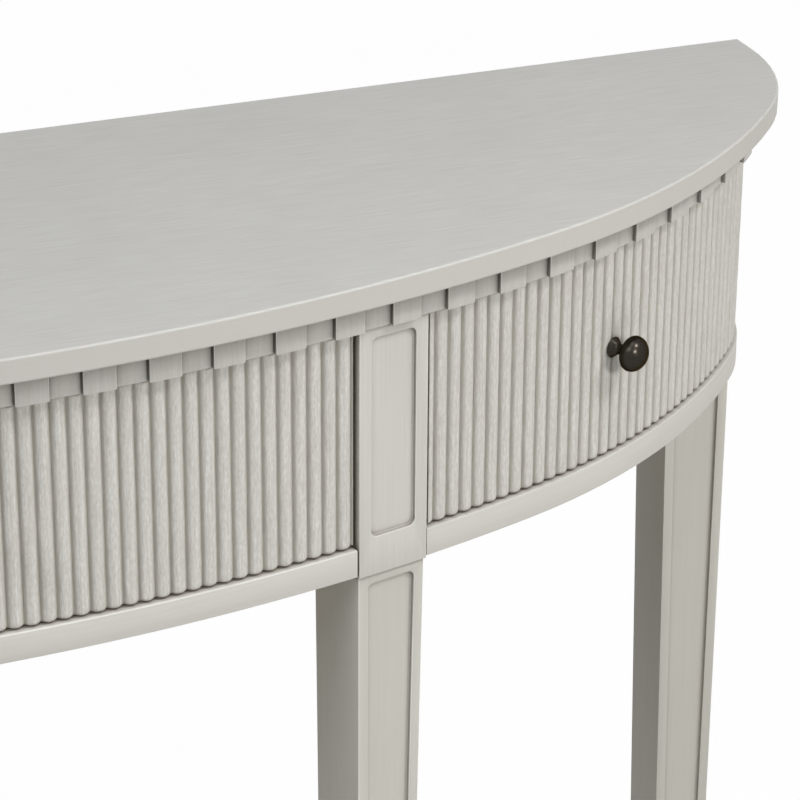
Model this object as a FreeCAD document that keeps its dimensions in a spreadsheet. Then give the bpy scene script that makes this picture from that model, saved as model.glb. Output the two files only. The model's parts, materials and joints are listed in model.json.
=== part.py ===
"""Demilune console table with three drawers, as separate joined pieces (millimetres).

The plan is one compound curve: a front arc, two side arcs, two corner arcs and short straight sides.
Every curved piece is an inset of that curve, and a station is a distance along the dentils' face
from the middle of the front. The origin is on the floor under the middle of the whole box, +Z up,
and the table faces -Y. The left half mirrors the right half.
"""
import FreeCAD
import Part
import math
import os
import Sketcher
from types import SimpleNamespace

SIZES = {
    # Whole table
    "overall_width": 1524.0,
    "overall_depth": 407.0,
    "overall_height": 813.0,
    # Plan curve of the top, with the ends of the front and side arcs as shares of a quarter turn
    "front_arc_share": 0.2073,
    "side_arc_share": 0.5514,
    "corner_radius": 201.0,
    "side_straight": 25.0,
    # Top
    "top_thickness": 19.0,
    "top_ease": 1.8,
    # Dentil moulding: proud blocks on the upper rail
    "moulding_height": 24.4,
    "moulding_setback": 15.2,
    "dentil_pitch": 47.6,
    "dentil_width": 23.8,
    "dentil_proud": 3.5,
    "upper_rail_thickness": 23.0,
    # Drawer openings and the rail below them
    "opening_height": 173.2,
    "rail_height": 22.0,
    "rail_depth": 50.0,
    "rail_step": 7.3,
    # Front posts
    "post_offset": 322.0,
    "post_width": 59.0,
    "post_depth": 57.0,
    "post_proud": 0.5,
    "post_drop": 1.3,
    "post_panel_side": 10.3,
    "post_panel_top": 9.0,
    "post_panel_foot": 30.6,
    # Routed panels of the posts and legs, with a cove that is a share of the recess
    "panel_recess": 3.2,
    "panel_cove_share": 0.3,
    "panel_corner": 5.5,
    # Back and ends of the carcase
    "back_overhang": 5.0,
    "back_panel_thickness": 15.0,
    "end_panel_thickness": 22.0,
    "end_panel_lead": 3.0,
    "back_post_width": 57.0,
    "ledger_depth": 25.0,
    "partition_thickness": 18.0,
    # Legs
    "leg_width": 57.4,
    "leg_depth": 57.5,
    "leg_side_taper": 10.0,
    "leg_back_taper": 6.0,
    "leg_panel_side": 8.2,
    "leg_panel_top": 8.4,
    "leg_panel_foot": 60.0,
    "front_leg_inset": 2.5,
    "back_leg_side_inset": 4.8,
    "back_leg_rear_inset": 3.5,
    "bolt_diameter": 8.0,
    "bolt_length": 80.0,
    "bore_clearance": 0.4,
    "bore_spare": 1.0,
    "glide_diameter": 24.0,
    "glide_thickness": 4.0,
    "glide_stem_diameter": 6.0,
    "glide_stem_length": 14.0,
    # Reeded drawer fronts, with the first valley a little right of the middle
    "reed_pitch": 12.15,
    "reed_start": 1.7,
    "reed_step": 2.0,
    "reed_depth": 4.0,
    "front_thickness": 14.0,
    "front_gap": 1.6,
    # Drawer boxes
    "drawer_wall": 12.0,
    "drawer_height": 120.0,
    "drawer_bottom_thickness": 6.0,
    "drawer_bottom_rise": 8.0,
    "groove_depth": 4.0,
    "box_clearance": 1.5,
    "drawer_rear_gap": 20.0,
    # Runners
    "runner_thickness": 10.0,
    "runner_ledge": 18.0,
    "runner_outer_width": 24.0,
    "guide_height": 20.0,
    "runner_clearance": 0.3,
    "guide_clearance": 0.5,
    "runner_nose_gap": 3.0,
    "runner_end_gap": 22.6,
    # Knobs, those of the side drawers at a share of the curve from the post to the end of the corner
    "side_knob_share": 0.3859,
    "knob_rise": 3.2,
    "knob_length": 29.4,
    "knob_diameter": 28.0,
    "knob_head_thickness": 18.0,
    "knob_neck_diameter": 7.6,
    "knob_foot_diameter": 16.0,
    "knob_foot_height": 5.5,
    "knob_screw_diameter": 4.0,
    "knob_screw_grip": 12.0,
    "knob_screw_head_diameter": 8.5,
    "knob_screw_head_thickness": 3.0,
    "seat_clearance": 0.05,
    # Cleats that hold the top
    "cleat_width": 20.0,
    "cleat_length": 80.0,
    "top_screw_diameter": 4.0,
    "top_screw_bite": 10.0,
    "top_screw_head_diameter": 8.0,
    "top_screw_head_thickness": 2.5,
    # Extra length of cutting shapes past the faces that they cut
    "overrun": 5.0,
}
UP = FreeCAD.Vector(0, 0, 1)
ACROSS = FreeCAD.Vector(1, 0, 0)

doc = FreeCAD.newDocument("demilune_table")
sheet = doc.addObject("Spreadsheet::Sheet", "sizes")
for row, (alias, value) in enumerate(SIZES.items(), start=1):
    sheet.set(f"A{row}", alias)
    sheet.set(f"B{row}", str(value))
    sheet.setAlias(f"B{row}", alias)
doc.recompute()
size = SimpleNamespace(**{alias: float(sheet.get(alias)) for alias in SIZES})
pieces = []

# Levels, from the floor up
top_under = size.overall_height - size.top_thickness
moulding_under = top_under - size.moulding_height
rail_top = moulding_under - size.opening_height
rail_under = rail_top - size.rail_height
post_under = rail_under - size.post_drop
runner_top = rail_top + size.runner_thickness
box_under = runner_top + size.runner_clearance
BACK_LEG_LENGTH = ("(sizes.overall_height - sizes.top_thickness - sizes.moulding_height"
                   " - sizes.opening_height - sizes.rail_height - sizes.glide_thickness)")
FRONT_LEG_LENGTH = f"({BACK_LEG_LENGTH} - sizes.post_drop)"
POST_HEIGHT = "(sizes.opening_height + sizes.rail_height + sizes.post_drop)"
CARCASE_HEIGHT = "(sizes.moulding_height + sizes.opening_height + sizes.rail_height)"

# Insets from the edge of the top
half_width = size.overall_width / 2
rail_inset = size.moulding_setback + size.rail_step
rail_back_inset = rail_inset + size.rail_depth
band_inset = size.moulding_setback + size.dentil_proud
band_back_inset = band_inset + size.upper_rail_thickness
end_back_inset = rail_inset + size.end_panel_thickness
crest_inset = rail_inset + size.reed_step
valley_inset = crest_inset + size.reed_depth
front_back_inset = valley_inset + size.front_thickness
runner_inset = front_back_inset + size.runner_nose_gap
post_inset = rail_inset - size.post_proud

# Depths: the box runs from the tip of the centre knob to the back edge of the top
knob_overhang = max(size.knob_length + size.seat_clearance - crest_inset, 0)
back_edge = (size.overall_depth + knob_overhang) / 2
carcase_back = back_edge - size.back_overhang
panel_front = carcase_back - size.back_panel_thickness
ledger_front = panel_front - size.ledger_depth
drawer_rear = panel_front - size.drawer_rear_gap
end_panel_front = panel_front - size.back_post_width - size.end_panel_lead

# Radii of the front and side arcs, which make the curve meet the overall width and depth
front_angle = size.front_arc_share * math.pi / 2
side_angle = size.side_arc_share * math.pi / 2
across_left = half_width - size.corner_radius * (1 - math.sin(side_angle))
depth_left = size.overall_depth - size.side_straight - size.corner_radius * math.cos(side_angle)
front_across = math.sin(front_angle)
front_down = 1 - math.cos(front_angle)
side_across = math.sin(side_angle) - math.sin(front_angle)
side_down = math.cos(front_angle) - math.cos(side_angle)
solution = front_across * side_down - side_across * front_down
front_radius = (across_left * side_down - side_across * depth_left) / solution
side_radius = (front_across * depth_left - front_down * across_left) / solution


def heading(angle):
    """Outward plan direction at an angle from straight ahead, positive to the right."""
    return FreeCAD.Vector(math.sin(angle), -math.cos(angle), 0)


corner_centre = FreeCAD.Vector(half_width - size.corner_radius, back_edge - size.side_straight, 0)
side_centre = corner_centre - heading(side_angle) * (side_radius - size.corner_radius)
front_centre = side_centre - heading(front_angle) * (front_radius - side_radius)

# Stations where one arc passes into the next, and where the curve meets the back of the carcase
front_end = front_angle * (front_radius - size.moulding_setback)
side_end = front_end + (side_angle - front_angle) * (side_radius - size.moulding_setback)
corner_end = side_end + (math.pi / 2 - side_angle) * (size.corner_radius - size.moulding_setback)
carcase_end = corner_end + size.side_straight - size.back_overhang


def station_angle(station):
    """Angle of the curve's outward normal at a station."""
    travel = abs(station)
    if travel <= front_end:
        angle = travel / (front_radius - size.moulding_setback)
    elif travel <= side_end:
        angle = front_angle + (travel - front_end) / (side_radius - size.moulding_setback)
    elif travel <= corner_end:
        angle = side_angle + (travel - side_end) / (size.corner_radius - size.moulding_setback)
    else:
        angle = math.pi / 2
    return math.copysign(angle, station)


def plan_point(station, inset):
    """Point of the plan at a station, an inset behind the edge of the top."""
    angle = abs(station_angle(station))
    if abs(station) <= front_end:
        place = front_centre + heading(angle) * (front_radius - inset)
    elif abs(station) <= side_end:
        place = side_centre + heading(angle) * (side_radius - inset)
    else:
        place = corner_centre + heading(angle) * (size.corner_radius - inset)
    straight = max(abs(station) - corner_end, 0)
    return FreeCAD.Vector(math.copysign(place.x, station), place.y + straight, 0)


def chain(start, end, inset):
    """Edges that follow the curve from one station to another."""
    joins = (-corner_end, -side_end, -front_end, front_end, side_end, corner_end)
    stops = [start] + [join for join in joins if start < join < end] + [end]
    edges = []
    for near, far in zip(stops, stops[1:]):
        first = plan_point(near, inset)
        last = plan_point(far, inset)
        middle = (near + far) / 2
        if abs(middle) > corner_end:
            edges.append(Part.makeLine(first, last))
        else:
            edges.append(Part.Arc(first, plan_point(middle, inset), last).toShape())
    return edges


def prism(edges, bottom, height):
    """Upright solid over a closed plan outline."""
    solid = Part.Face(Part.Wire(Part.__sortEdges__(edges))).extrude(UP * height)
    solid.translate(UP * bottom)
    return solid


def strip(start, end, outer, inner, bottom, height):
    """Curved board between two stations and two insets."""
    edges = chain(start, end, outer) + chain(start, end, inner)
    for station in (start, end):
        edges.append(Part.makeLine(plan_point(station, outer), plan_point(station, inner)))
    return prism(edges, bottom, height)


def inner_region(inset, bottom, height):
    """Solid of everything inside an inset of the curve, as far as the back of the carcase."""
    edges = chain(-carcase_end, carcase_end, inset)
    edges.append(Part.makeLine(plan_point(carcase_end, inset), plan_point(-carcase_end, inset)))
    return prism(edges, bottom, height)


def shaped(name, shape):
    """Document object for a shape that follows the plan curve."""
    made = doc.addObject("Part::Feature", name)
    made.Shape = shape
    return made


def block(name, length, width, height, corner):
    """Box at its lowest corner, its sizes expressions on the sheet or worked out from the plan."""
    made = doc.addObject("Part::Box", name)
    for side, extent in (("Length", length), ("Width", width), ("Height", height)):
        if isinstance(extent, str):
            made.setExpression(side, extent)
        else:
            setattr(made, side, extent)
    made.Placement.Base = FreeCAD.Vector(*corner)
    return made


def rod(name, radius, height, base):
    """Upright cylinder whose sizes are expressions on the sheet."""
    made = doc.addObject("Part::Cylinder", name)
    made.setExpression("Radius", radius)
    made.setExpression("Height", height)
    made.Placement.Base = FreeCAD.Vector(*base)
    return made


def grouped(name, links):
    """Several solids as one object."""
    made = doc.addObject("Part::Compound", name)
    made.Links = links
    return made


def fused(name, links):
    """Several overlapping solids joined into one."""
    made = doc.addObject("Part::MultiFuse", name)
    made.Shapes = links
    return made


def cut(name, base, tools):
    """What is left of a solid after the tools are taken away."""
    made = doc.addObject("Part::Cut", name)
    made.Base = base
    made.Tool = grouped(f"{name}_tools", tools) if len(tools) > 1 else tools[0]
    return made


def common(name, base, tool):
    """The part that two solids share."""
    made = doc.addObject("Part::Common", name)
    made.Base = base
    made.Tool = tool
    return made


def mirrored(name, source):
    """Left-hand copy of a right-hand solid."""
    made = doc.addObject("Part::Mirroring", name)
    made.Source = source
    made.Normal = ACROSS
    return made


def piece(made):
    """Enter a finished sub-part in the list that is written out."""
    pieces.append(made)
    return made


def pair(stem, right):
    """Enter a right-hand sub-part and its left-hand mirror."""
    piece(right)
    piece(mirrored(f"{stem}_left", right))


def origin_plane(body, role):
    """One of a body's own origin planes."""
    return next(plane for plane in body.Origin.OriginFeatures if plane.Role == role)


def outline(body, name, role, corners):
    """Sketch of a straight-sided outline whose corners are expressions on the sheet."""
    sketch = body.newObject("Sketcher::SketchObject", name)
    sketch.AttachmentSupport = [(origin_plane(body, role), "")]
    sketch.MapMode = "FlatFace"
    turn = 2 * math.pi / len(corners)
    around = [heading(index * turn) for index in range(len(corners))]
    guesses = [FreeCAD.Vector(spot.x, spot.y, 0) for spot in around]
    for index, guess in enumerate(guesses):
        sketch.addGeometry(Part.LineSegment(guess, guesses[(index + 1) % len(guesses)]), False)
    for index, corner in enumerate(corners):
        following = (index + 1) % len(corners)
        sketch.addConstraint(Sketcher.Constraint("Coincident", index, 2, following, 1))
        for kind, axis, expression in (("DistanceX", -2, corner[0]), ("DistanceY", -1, corner[1])):
            if expression == "0":
                sketch.addConstraint(Sketcher.Constraint("PointOnObject", index, 1, axis))
            else:
                datum = sketch.addConstraint(Sketcher.Constraint(kind, -1, 1, index, 1, 1))
                sketch.setExpression(f"Constraints[{datum}]", expression)
    return sketch


def framed_panel(body, name, corners):
    """Recessed panel with rounded corners and a cove round its floor in the front face of a body."""
    pocket = body.newObject("PartDesign::Pocket", f"{name}_panel")
    pocket.Profile = outline(body, f"{name}_panel_outline", "XZ_Plane", corners)
    pocket.setExpression("Length", "sizes.panel_recess")
    doc.recompute()
    corner_edges = []
    for index, edge in enumerate(pocket.Shape.Edges, start=1):
        box = edge.BoundBox
        if box.YMin < size.panel_recess / 2 < box.YMax < 2 * size.panel_recess:
            corner_edges.append(f"Edge{index}")
    rounded = body.newObject("PartDesign::Fillet", f"{name}_panel_corners")
    rounded.Base = (pocket, corner_edges)
    rounded.setExpression("Radius", "sizes.panel_corner")
    doc.recompute()
    floor_edges = []
    for index, edge in enumerate(rounded.Shape.Edges, start=1):
        box = edge.BoundBox
        if size.panel_recess / 2 < box.YMin and box.YMax < 2 * size.panel_recess:
            floor_edges.append(f"Edge{index}")
    cove = body.newObject("PartDesign::Fillet", f"{name}_panel_cove")
    cove.Base = (rounded, floor_edges)
    cove.setExpression("Radius", "sizes.panel_cove_share * sizes.panel_recess")
    doc.recompute()


# Front posts, turned to face along the curve's normal
post_angle = math.asin(size.post_offset / (front_radius - rail_inset))
post_face = front_centre + heading(post_angle) * (front_radius - post_inset)
tangent = FreeCAD.Vector(math.cos(post_angle), math.sin(post_angle), 0)
inward = heading(post_angle) * -1
post_turn = FreeCAD.Rotation(UP, math.degrees(post_angle))
post_corner = post_face + tangent * (size.post_width / 2)
post_rear = post_face - tangent * (size.post_width / 2) + inward * size.post_depth


def turned_block(name, width, depth, height, middle, half, bottom):
    """Box square to the front post, centred on a point of its front face."""
    made = block(name, width, depth, height, (0, 0, 0))
    made.Placement = FreeCAD.Placement(middle - tangent * half + UP * bottom, post_turn)
    return made


front_post = doc.addObject("PartDesign::Body", "front_post")
post_pad = front_post.newObject("PartDesign::Pad", "post_pad")
post_pad.Profile = outline(front_post, "post_plan", "XY_Plane", (
    ("0", "0"),
    ("sizes.post_width", "0"),
    ("sizes.post_width", "sizes.post_depth"),
    ("0", "sizes.post_depth"),
))
post_pad.setExpression("Length", POST_HEIGHT)
post_panel_top = f"{POST_HEIGHT} - sizes.post_panel_top"
framed_panel(front_post, "post", (
    ("sizes.post_panel_side", "sizes.post_panel_foot"),
    ("sizes.post_width - sizes.post_panel_side", "sizes.post_panel_foot"),
    ("sizes.post_width - sizes.post_panel_side", post_panel_top),
    ("sizes.post_panel_side", post_panel_top),
))
front_post.Placement = FreeCAD.Placement(
    post_face - tangent * (size.post_width / 2) + UP * post_under, post_turn)

# Legs, plumb in front and on one side, tapered behind and on the other side
LEG_FOOT_WIDTH = "(sizes.leg_width - sizes.leg_side_taper)"


def leg_outlines(length, right_tapered):
    """Corners of a leg's front face and of its panel, with the taper on the right or the left side."""
    near = "sizes.leg_panel_side"
    far = "sizes.leg_width - sizes.leg_panel_side"
    panel_top = f"{length} - sizes.leg_panel_top"
    foot_taper = f"sizes.leg_side_taper * (1 - sizes.leg_panel_foot / {length})"
    top_taper = f"sizes.leg_side_taper * sizes.leg_panel_top / {length}"
    if right_tapered:
        face = (("0", "0"), (LEG_FOOT_WIDTH, "0"), ("sizes.leg_width", length), ("0", length))
        panel = ((near, "sizes.leg_panel_foot"), (f"{far} - {foot_taper}", "sizes.leg_panel_foot"),
                 (f"{far} - {top_taper}", panel_top), (near, panel_top))
    else:
        face = (("sizes.leg_side_taper", "0"), ("sizes.leg_width", "0"), ("sizes.leg_width", length),
                ("0", length))
        panel = ((f"{near} + {foot_taper}", "sizes.leg_panel_foot"), (far, "sizes.leg_panel_foot"),
                 (far, panel_top), (f"{near} + {top_taper}", panel_top))
    return face, panel


def leg(name, length, right_tapered, corner, turn):
    """Leg whose front face starts at a corner of its top, seen from the front."""
    face, panel = leg_outlines(length, right_tapered)
    body = doc.addObject("PartDesign::Body", name)
    pad = body.newObject("PartDesign::Pad", f"{name}_pad")
    pad.Profile = outline(body, f"{name}_elevation", "XZ_Plane", face)
    pad.setExpression("Length", "sizes.leg_depth")
    pad.Reversed = True
    taper = body.newObject("PartDesign::Pocket", f"{name}_taper")
    taper.Profile = outline(body, f"{name}_taper_outline", "YZ_Plane", (
        ("sizes.leg_depth - sizes.leg_back_taper", "0"),
        ("sizes.leg_depth", "0"),
        ("sizes.leg_depth", length),
    ))
    taper.setExpression("Length", "sizes.leg_width")
    taper.Reversed = True
    framed_panel(body, name, panel)
    body.Placement = FreeCAD.Placement(corner + UP * size.glide_thickness, turn)
    return body


half_leg = size.leg_width / 2
front_leg_corner = post_face - tangent * half_leg + inward * size.front_leg_inset
front_leg = leg("front_leg", FRONT_LEG_LENGTH, True, front_leg_corner, post_turn)
back_leg_corner = FreeCAD.Vector(
    half_width - rail_inset - size.back_leg_side_inset - size.leg_width,
    carcase_back - size.back_leg_rear_inset - size.leg_depth, 0)
back_leg = leg("back_leg", BACK_LEG_LENGTH, False, back_leg_corner, FreeCAD.Rotation())

# Bolts from the legs up into the posts, and glides under the feet
front_bolt = front_leg_corner + tangent * half_leg + inward * (size.leg_depth / 2)
back_bolt = back_leg_corner + FreeCAD.Vector(half_leg, size.leg_depth / 2, 0)
foot_middle = (size.leg_width - size.leg_side_taper) / 2
foot_depth = (size.leg_depth - size.leg_back_taper) / 2
front_foot = front_leg_corner + tangent * foot_middle + inward * foot_depth
back_foot = back_leg_corner + FreeCAD.Vector(size.leg_side_taper + foot_middle, foot_depth, 0)
bolts = []
glides = []
bores = {}
for stem, bolt_place, foot, leg_top in (("front", front_bolt, front_foot, post_under),
                                        ("back", back_bolt, back_foot, rail_under)):
    bolt_bottom = leg_top - size.bolt_length / 2
    bolt = rod(f"{stem}_bolt", "sizes.bolt_diameter / 2", "sizes.bolt_length",
               (bolt_place.x, bolt_place.y, bolt_bottom))
    bolts += [bolt, mirrored(f"{stem}_bolt_left", bolt)]
    bores[f"{stem}_bolt"] = rod(
        f"{stem}_bolt_bore", "(sizes.bolt_diameter + sizes.bore_clearance) / 2",
        "sizes.bolt_length + 2 * sizes.bore_spare",
        (bolt_place.x, bolt_place.y, bolt_bottom - size.bore_spare))
    disc = rod(f"{stem}_glide_disc", "sizes.glide_diameter / 2", "sizes.glide_thickness",
               (foot.x, foot.y, 0))
    spike = rod(f"{stem}_glide_stem", "sizes.glide_stem_diameter / 2",
                "sizes.glide_thickness + sizes.glide_stem_length", (foot.x, foot.y, 0))
    glide = fused(f"{stem}_glide", [disc, spike])
    glides += [glide, mirrored(f"{stem}_glide_left", glide)]
    bores[f"{stem}_glide"] = rod(
        f"{stem}_glide_bore", "(sizes.glide_stem_diameter + sizes.bore_clearance) / 2",
        "sizes.glide_stem_length + sizes.bore_spare", (foot.x, foot.y, size.glide_thickness))
piece(grouped("leg_bolts", bolts))
piece(grouped("leg_glides", glides))
pair("front_leg", cut("front_leg_right", front_leg, [bores["front_bolt"], bores["front_glide"]]))
pair("back_leg", cut("back_leg_right", back_leg, [bores["back_bolt"], bores["back_glide"]]))
post_right = cut("front_post_right", front_post, [bores["front_bolt"]])
post_left = mirrored("front_post_left", post_right)
piece(post_right)
piece(post_left)

# Upper rail in one bent piece, with the dentil blocks glued to its face
upper_rail = shaped("upper_rail", strip(-carcase_end, carcase_end, band_inset, band_back_inset,
                                        moulding_under, size.moulding_height))
piece(upper_rail)
dentils = []
last_dentil = int(carcase_end / size.dentil_pitch)
for number in range(-last_dentil, last_dentil + 1):
    middle = number * size.dentil_pitch
    start = max(middle - size.dentil_width / 2, -carcase_end)
    end = min(middle + size.dentil_width / 2, carcase_end)
    dentils.append(strip(start, end, size.moulding_setback, band_inset,
                         moulding_under, size.moulding_height))
piece(shaped("dentil_blocks", Part.makeCompound(dentils)))

# Lower rails: one bent ring that the posts divide into three
rail_ring = shaped("rail_ring", strip(-carcase_end, carcase_end, rail_inset, rail_back_inset,
                                      rail_under, size.rail_height))
post_zone = turned_block("post_zone", "sizes.post_width", "sizes.overall_depth", CARCASE_HEIGHT,
                         post_face - inward * size.post_depth, size.post_width / 2, rail_under)
rail_parts = cut("rail_parts", rail_ring, [post_zone, mirrored("post_zone_left", post_zone)])
middle_zone = block("middle_zone", "2 * sizes.post_offset", "sizes.overall_depth", CARCASE_HEIGHT,
                    (-size.post_offset, back_edge - size.overall_depth, rail_under))
right_zone = block("right_zone", "sizes.overall_width / 2 - sizes.post_offset", "sizes.overall_depth",
                   CARCASE_HEIGHT, (size.post_offset, back_edge - size.overall_depth, rail_under))
piece(common("lower_rail_centre", rail_parts, middle_zone))
right_rail = common("right_rail", rail_parts, right_zone)
pair("lower_rail", cut("lower_rail_right", right_rail, [bores["back_bolt"]]))

# End panels behind the side drawers, back corner posts, back panel and the ledger along it
end_ring = shaped("end_ring", strip(-carcase_end, carcase_end, rail_inset, end_back_inset,
                                    rail_top, size.opening_height))
end_zone = block("end_zone", "sizes.overall_width / 2", "sizes.overall_depth", "sizes.opening_height",
                 (0, end_panel_front, rail_top))
pair("end_panel", common("end_panel_right", end_ring, end_zone))
panel_half = half_width - max(band_back_inset, end_back_inset)
back_post_inner = panel_half - size.back_post_width
back_post = block("back_post", "sizes.back_post_width", "sizes.back_post_width", CARCASE_HEIGHT,
                  (back_post_inner, panel_front - size.back_post_width, rail_under))
pair("back_post", cut("back_post_right", back_post,
                      [bores["back_bolt"], rail_ring, end_ring, upper_rail]))
BAND_DEPTH = ("max(sizes.dentil_proud + sizes.upper_rail_thickness;"
              " sizes.rail_step + sizes.end_panel_thickness)")
PANEL_WIDTH = f"(sizes.overall_width - 2 * sizes.moulding_setback - 2 * {BAND_DEPTH})"
back_board = block("back_board", PANEL_WIDTH, "sizes.back_panel_thickness", CARCASE_HEIGHT,
                   (-panel_half, panel_front, rail_under))
piece(cut("back_panel", back_board, [rail_ring]))
piece(block("back_ledger", f"{PANEL_WIDTH} - 2 * sizes.back_post_width", "sizes.ledger_depth",
            "sizes.rail_height", (-back_post_inner, ledger_front, rail_under)))

# Partitions from the posts to the back panel, standing on the ledger
PARTITION_HEIGHT = "sizes.moulding_height + sizes.opening_height"
partition_x = size.post_offset - size.partition_thickness / 2
partition_board = block("partition_board", "sizes.partition_thickness", "sizes.overall_depth",
                        PARTITION_HEIGHT, (partition_x, panel_front - size.overall_depth, rail_top))
post_shadow = turned_block("post_shadow", "sizes.overall_depth", "sizes.overall_depth", CARCASE_HEIGHT,
                           post_face + inward * (size.post_depth - size.overall_depth),
                           size.overall_depth / 2, rail_under)
pair("partition", cut("partition_right", partition_board, [post_shadow]))

# Drawer runners: a ledge under the drawer's side and a guide beside it, on the rail and the ledger
runner_region = shaped("runner_region", inner_region(runner_inset, rail_top, size.opening_height))
post_seat = turned_block("post_seat", "sizes.post_width", "sizes.post_depth", CARCASE_HEIGHT,
                         post_face, size.post_width / 2, rail_under)
box_half = post_rear.x - size.box_clearance
side_box_inner = post_corner.x + size.front_gap + size.box_clearance
side_box_outer = back_post_inner - size.runner_end_gap - size.runner_outer_width
partition_outer = partition_x + size.partition_thickness


def runner(name, ledge_start, ledge_end, guide_start, guide_end):
    """Runner along the depth of the table, between widths given across it."""
    start = panel_front - size.overall_depth
    ledge = block(f"{name}_ledge", ledge_end - ledge_start, "sizes.overall_depth",
                  "sizes.runner_thickness", (ledge_start, start, rail_top))
    guide = block(f"{name}_guide", guide_end - guide_start, "sizes.overall_depth",
                  "sizes.runner_thickness + sizes.guide_height", (guide_start, start, rail_top))
    bar = fused(f"{name}_bar", [ledge, guide])
    return cut(name, common(f"{name}_length", bar, runner_region), [post_seat])


pair("centre_runner", runner("centre_runner_right", box_half - size.runner_ledge, partition_x,
                             box_half + size.guide_clearance, partition_x))
inner_runner = runner("right_runner_inner", partition_outer, side_box_inner + size.runner_ledge,
                      partition_outer, side_box_inner - size.guide_clearance)
outer_runner = runner("right_runner_outer", side_box_outer - size.runner_ledge,
                      side_box_outer + size.runner_outer_width,
                      side_box_outer + size.guide_clearance, side_box_outer + size.runner_outer_width)
for side_runner in (inner_runner, outer_runner):
    piece(side_runner)
    piece(mirrored(side_runner.Name.replace("right", "left"), side_runner))

# Reeded fronts: one bent and reeded blank, cut so that its reeds run on from drawer to drawer
front_bottom = rail_top + size.front_gap
front_height = size.opening_height - 2 * size.front_gap
reed_count = 1
while plan_point(size.reed_start + reed_count * size.reed_pitch, valley_inset).y < end_panel_front:
    reed_count += 1
reeds = []
for number in range(-reed_count - 1, reed_count):
    near = size.reed_start + number * size.reed_pitch
    far = near + size.reed_pitch
    crest = plan_point((near + far) / 2, crest_inset)
    reeds.append(Part.Arc(plan_point(near, valley_inset), crest, plan_point(far, valley_inset)).toShape())
blank_start = size.reed_start - (reed_count + 1) * size.reed_pitch
blank_end = size.reed_start + reed_count * size.reed_pitch
blank_edges = reeds + chain(blank_start, blank_end, front_back_inset)
for station in (blank_start, blank_end):
    blank_edges.append(Part.makeLine(plan_point(station, valley_inset),
                                     plan_point(station, front_back_inset)))
blank = shaped("reeded_blank", prism(blank_edges, front_bottom, front_height))
post_gap = turned_block("post_gap", "sizes.post_width + 2 * sizes.front_gap", "sizes.overall_depth",
                        CARCASE_HEIGHT, post_face - inward * size.post_depth,
                        size.post_width / 2 + size.front_gap, rail_under)
blank_parts = cut("blank_parts", blank, [post_gap, mirrored("post_gap_left", post_gap)])
centre_blank = common("centre_blank", blank_parts, middle_zone)
side_front_start = post_corner.x + size.front_gap
side_zone = block("side_zone", "sizes.overall_width / 2", "sizes.overall_depth", CARCASE_HEIGHT,
                  (side_front_start, end_panel_front - size.front_gap - size.overall_depth, rail_under))
side_blank = common("side_blank", blank, side_zone)

# Knobs: flared foot, neck and flattened ball on the front of each drawer, held by a screw from inside
knob_height = rail_top + size.opening_height / 2 + size.knob_rise
front_through = size.reed_depth + size.front_thickness
head_middle = size.knob_length - size.knob_head_thickness / 2
post_station = post_angle * (front_radius - size.moulding_setback)
side_knob_station = post_station + size.side_knob_share * (corner_end - post_station)


def along_normal(made, station):
    """Place an upright piece on the reeds at a station, pointing straight out of the drawer."""
    outward = heading(station_angle(station))
    seat = plan_point(station, crest_inset - size.seat_clearance) + UP * knob_height
    made.Placement = FreeCAD.Placement(seat, FreeCAD.Rotation(UP, outward))
    return made


def knob(name, station):
    """Knob with a blind bore for its screw."""
    foot = doc.addObject("Part::Cone", f"{name}_foot")
    foot.setExpression("Radius1", "sizes.knob_foot_diameter / 2")
    foot.setExpression("Radius2", "sizes.knob_neck_diameter / 2")
    foot.setExpression("Height", "sizes.knob_foot_height")
    neck = rod(f"{name}_neck", "sizes.knob_neck_diameter / 2",
               "sizes.knob_length - sizes.knob_head_thickness / 2", (0, 0, 0))
    head = doc.addObject("Part::Ellipsoid", f"{name}_head")
    head.setExpression("Radius1", "sizes.knob_head_thickness / 2")
    head.setExpression("Radius2", "sizes.knob_diameter / 2")
    head.setExpression("Radius3", "sizes.knob_diameter / 2")
    head.Placement.Base = UP * head_middle
    bore = rod(f"{name}_bore", "(sizes.knob_screw_diameter + sizes.bore_clearance) / 2",
               "sizes.knob_screw_grip + sizes.bore_spare", (0, 0, 0))
    return along_normal(cut(name, fused(f"{name}_turned", [foot, neck, head]), [bore]), station)


def knob_screw(name, station):
    """Screw through the drawer front, with its head against the inside face."""
    head_seat = -(front_through + 2 * size.seat_clearance)
    shank = rod(f"{name}_shank", "sizes.knob_screw_diameter / 2",
                "sizes.reed_depth + sizes.front_thickness + sizes.knob_screw_grip",
                (0, 0, head_seat))
    head = rod(f"{name}_head", "sizes.knob_screw_head_diameter / 2", "sizes.knob_screw_head_thickness",
               (0, 0, head_seat - size.knob_screw_head_thickness))
    return along_normal(fused(name, [shank, head]), station)


def bored_front(name, front, station):
    """Drawer front with the hole for its knob screw."""
    hole = rod(f"{name}_hole", "(sizes.knob_screw_diameter + sizes.bore_clearance) / 2",
               "2 * (sizes.reed_depth + sizes.front_thickness + sizes.overrun)",
               (0, 0, -(front_through + size.overrun)))
    drill = along_normal(grouped(f"{name}_drill", [hole]), station)
    return cut(name, front, [drill])


# Drawer boxes: sides and bottom run up to the inside of the bent front
box_region = shaped("box_region", inner_region(front_back_inset, box_under, size.drawer_height))
box_start = drawer_rear - size.overall_depth
bottom_under = box_under + size.drawer_bottom_rise
back_front = drawer_rear - size.drawer_wall


def drawer_wall(name, left):
    """Blank for one side of a drawer, from its rear to the inside of the front."""
    wall = block(f"{name}_board", "sizes.drawer_wall", "sizes.overall_depth", "sizes.drawer_height",
                 (left, box_start, box_under))
    return common(f"{name}_length", wall, box_region)


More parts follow.
